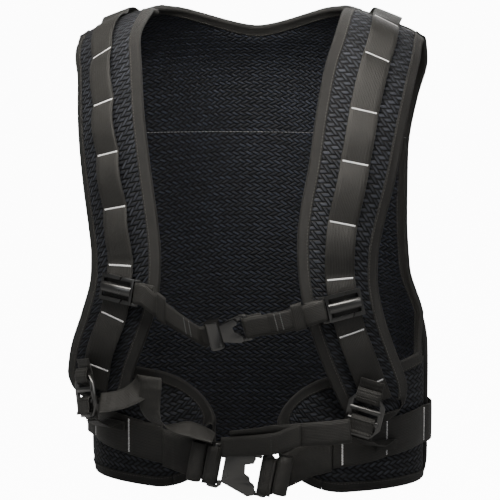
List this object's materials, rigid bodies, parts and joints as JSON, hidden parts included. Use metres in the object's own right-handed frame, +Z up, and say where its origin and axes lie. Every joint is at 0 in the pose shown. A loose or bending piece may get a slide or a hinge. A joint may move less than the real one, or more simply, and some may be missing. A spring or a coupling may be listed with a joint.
{
  "type": "harness vest",
  "caption": "Padded load harness vest with shoulder straps, sternum strap, waist belt with magnetic buckles, ladder locks and daisy-chain webbing.",
  "frame": {"origin": "on the plane the hem stands on, under the middle of the vest's width and depth", "axes": "+Z up to the shoulders, -Y towards the wearer's front, +X towards the wearer's left"},
  "size_m": [0.3754, 0.25, 0.4991],
  "materials": {
    "lining": "blue-black woven mesh with a fine basket pattern",
    "backing": "plain black pack cloth",
    "foam": "closed-cell foam, matt dark grey",
    "frame_sheet": "thin black polyethylene sheet",
    "binding": "grosgrain tape, warm black",
    "webbing": "ribbed nylon webbing, warm black, pale bar tacks",
    "hardware": "satin black moulded plastic"
  },
  "bodies": {
    "vest": {"right_wing_lining": "lining", "left_wing_lining": "lining", "back_lining": "lining", "right_wing_cover": "lining", "left_wing_cover": "lining", "right_strap_cover": "lining", "left_strap_cover": "lining", "back_cover": "backing", "right_strap_lining": "backing", "left_strap_lining": "backing", "back_foam": "foam", "right_wing_foam": "foam", "left_wing_foam": "foam", "right_strap_foam": "foam", "left_strap_foam": "foam", "back_frame_sheet": "frame_sheet", "neck_binding": "binding", "hem_binding": "binding", "right_side_binding": "binding", "left_side_binding": "binding", "right_strap_binding": "binding", "left_strap_binding": "binding", "right_shoulder_webbing": "webbing", "left_shoulder_webbing": "webbing", "belt_webbing": "webbing", "back_webbing_row_1": "webbing", "back_webbing_row_2": "webbing", "back_webbing_row_3": "webbing", "back_webbing_row_4": "webbing", "right_lock_loop": "webbing", "left_lock_loop": "webbing", "right_adjuster_web": "webbing", "left_adjuster_web": "webbing", "right_belt_end_web": "webbing", "left_belt_end_web": "webbing", "right_belt_web_roll": "webbing", "left_belt_web_roll": "webbing", "right_web_tail": "webbing", "left_web_tail": "webbing"},
    "right_slider": {"right_slider": "hardware"},
    "left_slider": {"left_slider": "hardware"},
    "right_sternum_web": {"right_sternum_web": "webbing"},
    "left_sternum_web": {"left_sternum_web": "webbing"},
    "chest_front_half": {"chest_buckle_front_half": "hardware"},
    "chest_rear_half": {"chest_buckle_rear_half": "hardware"},
    "right_lock": {"right_ladder_lock": "hardware", "right_lock_web": "webbing"},
    "left_lock": {"left_ladder_lock": "hardware", "left_lock_web": "webbing"},
    "belt_front_half": {"belt_buckle_front_half": "hardware"},
    "belt_rear_half": {"belt_buckle_rear_half": "hardware"}
  },
  "joints": [
    {"name": "right_slider_travel", "type": "slide", "parent": "vest", "child": "right_slider", "axis": [0, 0, 1], "range_m": [-0.004, 0.003]},
    {"name": "left_slider_travel", "type": "slide", "parent": "vest", "child": "left_slider", "axis": [0, 0, 1], "range_m": [-0.004, 0.003]},
    {"name": "right_sternum_swing", "type": "hinge", "parent": "right_slider", "child": "right_sternum_web", "pos_m": [-0.10043, -0.11439, 0.21125], "axis": [-0.1528, 0.0087, -0.9882], "range_deg": [0, 70]},
    {"name": "left_sternum_swing", "type": "hinge", "parent": "left_slider", "child": "left_sternum_web", "pos_m": [0.08634, -0.11407, 0.19769], "axis": [-0.2244, -0.0403, 0.9737], "range_deg": [0, 35]},
    {"name": "chest_front_swing", "type": "hinge", "parent": "right_sternum_web", "child": "chest_front_half", "pos_m": [-0.0221, -0.1146, 0.17109], "axis": [0.2383, 0.1737, -0.9556], "range_deg": [0, 42]},
    {"name": "chest_rear_swing", "type": "hinge", "parent": "left_sternum_web", "child": "chest_rear_half", "pos_m": [0.0109, -0.1146, 0.17931], "axis": [0.2383, 0.1737, -0.9556], "range_deg": [0, 45]},
    {"name": "right_lock_tilt", "type": "hinge", "parent": "vest", "child": "right_lock", "pos_m": [-0.1594, -0.0986, 0.12], "axis": [-0.6396, 0.7395, -0.2099], "range_deg": [0, 25]},
    {"name": "left_lock_tilt", "type": "hinge", "parent": "vest", "child": "left_lock", "pos_m": [0.1311, -0.0986, 0.106], "axis": [-0.9603, 0.1524, 0.2337], "range_deg": [0, 11]},
    {"name": "belt_front_swing", "type": "hinge", "parent": "vest", "child": "belt_front_half", "pos_m": [-0.02626, -0.0946, 0.03367], "axis": [-0.1805, 0, -0.9836], "range_deg": [0, 70]},
    {"name": "belt_rear_swing", "type": "hinge", "parent": "vest", "child": "belt_rear_half", "pos_m": [0.02686, -0.0946, 0.02393], "axis": [-0.1805, 0, -0.9836], "range_deg": [0, 30]}
  ],
  "couplings": [
    {"joint": "left_slider_travel", "follows": "right_slider_travel", "ratio": 1},
    {"joint": "left_sternum_swing", "follows": "right_sternum_swing", "ratio": 0.5}
  ]
}
